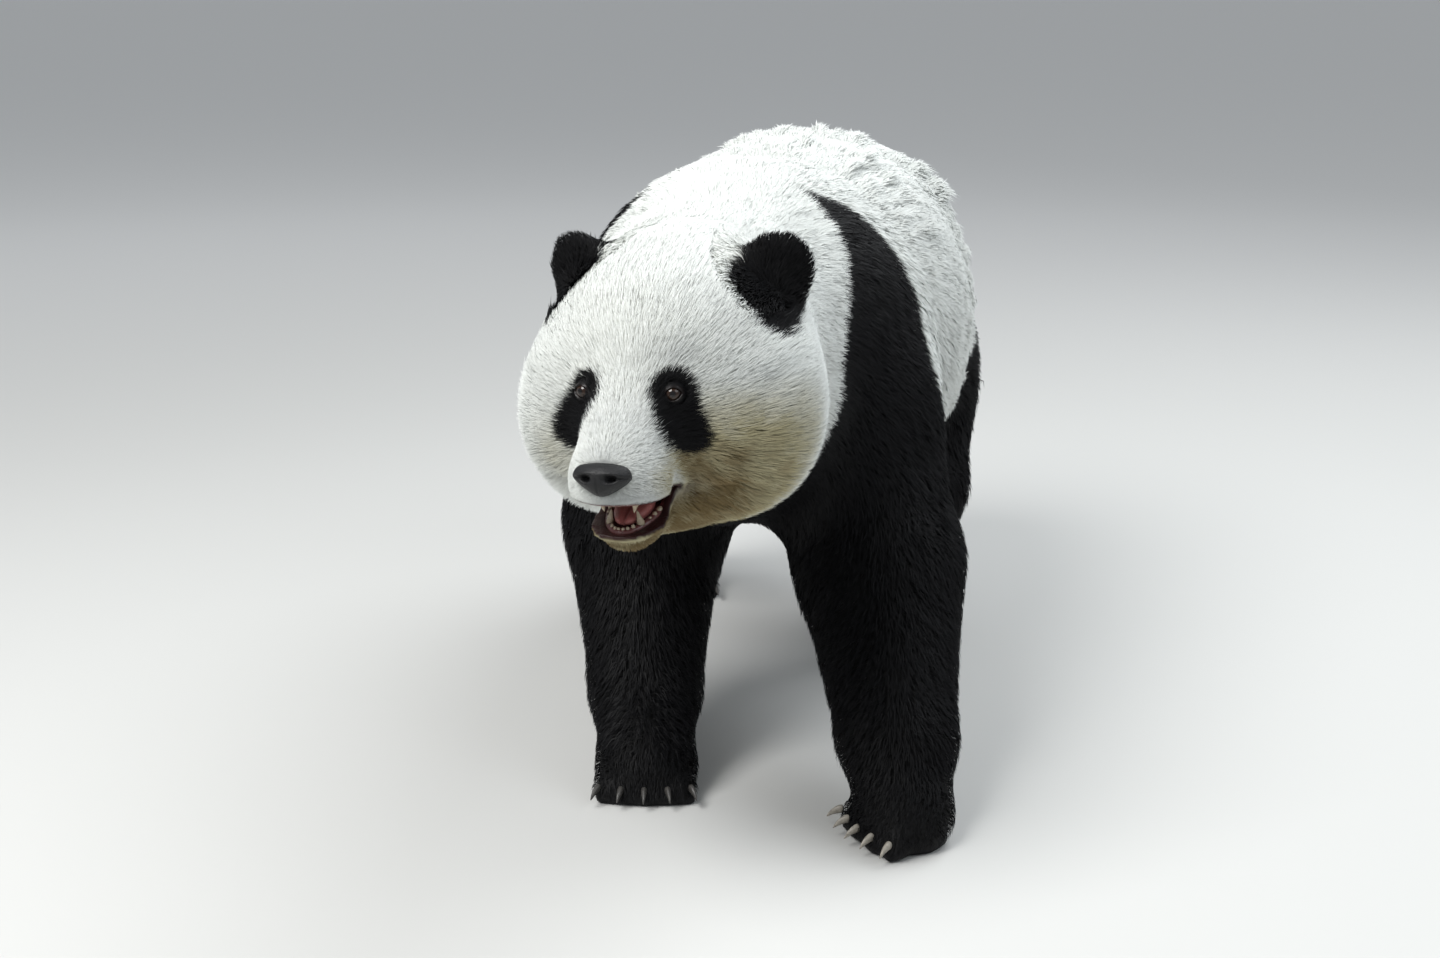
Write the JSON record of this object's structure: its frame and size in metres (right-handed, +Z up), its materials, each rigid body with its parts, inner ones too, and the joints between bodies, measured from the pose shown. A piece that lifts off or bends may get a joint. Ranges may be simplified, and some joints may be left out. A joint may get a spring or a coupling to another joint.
{
  "type": "giant panda figure",
  "caption": "Life-size still giant panda walking on four legs, with its head low and turned slightly and its mouth open; stands on its own paws.",
  "frame": {"origin": "middle of the whole animal's box, on the floor under its paws", "axes": "+Z up, the animal faces -Y, its own left side is +X"},
  "size_m": [0.553, 1.4996, 0.7833],
  "materials": {
    "white_coat": "soft matt fur, creamy white",
    "black_coat": "soft matt fur, black with a faint sheen",
    "nose_leather": "damp grained black skin",
    "eye": "clear and wet over dark brown",
    "mouth_flesh": "wet pink flesh; the teeth on the gums are ivory",
    "claw": "smooth horn, grey going to ivory"
  },
  "bodies": {
    "root": {"trunk": "white_coat", "shoulders": "black_coat", "neck": "white_coat", "head": "white_coat", "jaw": "white_coat", "nose": "nose_leather", "tongue": "mouth_flesh", "gum_upper": "mouth_flesh", "gum_lower": "mouth_flesh", "ear_left": "black_coat", "eye_left": "eye", "foreleg_left": "black_coat", "forepaw_left": "black_coat", "hindleg_left": "black_coat", "hindpaw_left": "black_coat", "ear_right": "black_coat", "eye_right": "eye", "foreleg_right": "black_coat", "forepaw_right": "black_coat", "hindleg_right": "black_coat", "hindpaw_right": "black_coat", "tail": "white_coat", "claw_fore_left_1": "claw", "claw_fore_left_2": "claw", "claw_fore_left_3": "claw", "claw_fore_left_4": "claw", "claw_fore_left_5": "claw", "claw_fore_right_1": "claw", "claw_fore_right_2": "claw", "claw_fore_right_3": "claw", "claw_fore_right_4": "claw", "claw_fore_right_5": "claw", "claw_hind_left_1": "claw", "claw_hind_left_2": "claw", "claw_hind_left_3": "claw", "claw_hind_left_4": "claw", "claw_hind_left_5": "claw", "claw_hind_right_1": "claw", "claw_hind_right_2": "claw", "claw_hind_right_3": "claw", "claw_hind_right_4": "claw", "claw_hind_right_5": "claw"}
  },
  "joints": []
}
